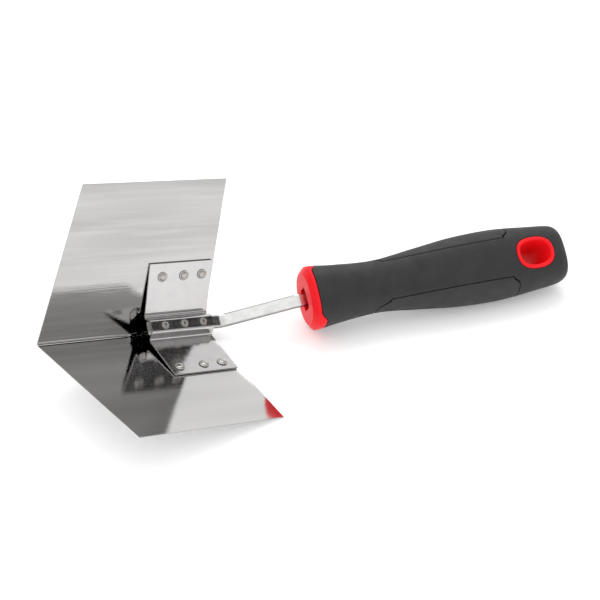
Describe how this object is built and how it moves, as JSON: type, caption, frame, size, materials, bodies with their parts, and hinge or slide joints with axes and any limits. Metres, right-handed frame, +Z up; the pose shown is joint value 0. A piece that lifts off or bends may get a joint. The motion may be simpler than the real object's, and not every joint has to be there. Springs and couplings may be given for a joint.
{
  "type": "inside corner trowel",
  "caption": "Inside corner trowel: a V-folded steel blade riveted to a saddle bracket and a cranked shank in a two-material moulded handle with a hang hole.",
  "frame": {"origin": "on the surface that the tool lies on, below the middle of its bounding box", "axes": "+X from the blade towards the handle's butt, along the crease seen from above; +Z up, as the tool lies on the rear edge of its right wing and on the handle; +Y towards the left wing"},
  "size_m": [0.3032, 0.1006, 0.1077],
  "materials": {
    "blade_steel": "polished stainless sheet with a fine grain along the crease",
    "bracket_steel": "pressed stainless sheet, bright, with soft bend marks",
    "shank_steel": "zinc-plated bar, satin",
    "rivet_steel": "domed rivet heads, satin",
    "core_plastic": "moulded red plastic, semi-gloss",
    "grip_rubber": "soft overmould, matt with a fine mould texture",
    "pad_rubber": "soft overmould, matt, slightly coarser texture"
  },
  "bodies": {
    "root": {"blade": "blade_steel", "bracket": "bracket_steel", "shank": "shank_steel", "wing_rivet_left_1": "rivet_steel", "wing_rivet_left_2": "rivet_steel", "wing_rivet_left_3": "rivet_steel", "wing_rivet_right_1": "rivet_steel", "wing_rivet_right_2": "rivet_steel", "wing_rivet_right_3": "rivet_steel", "tang_rivet_1": "rivet_steel", "tang_rivet_2": "rivet_steel", "tang_rivet_3": "rivet_steel", "handle_core": "core_plastic", "grip_sleeve": "grip_rubber", "side_pad_left": "pad_rubber", "side_pad_right": "pad_rubber"}
  },
  "joints": []
}
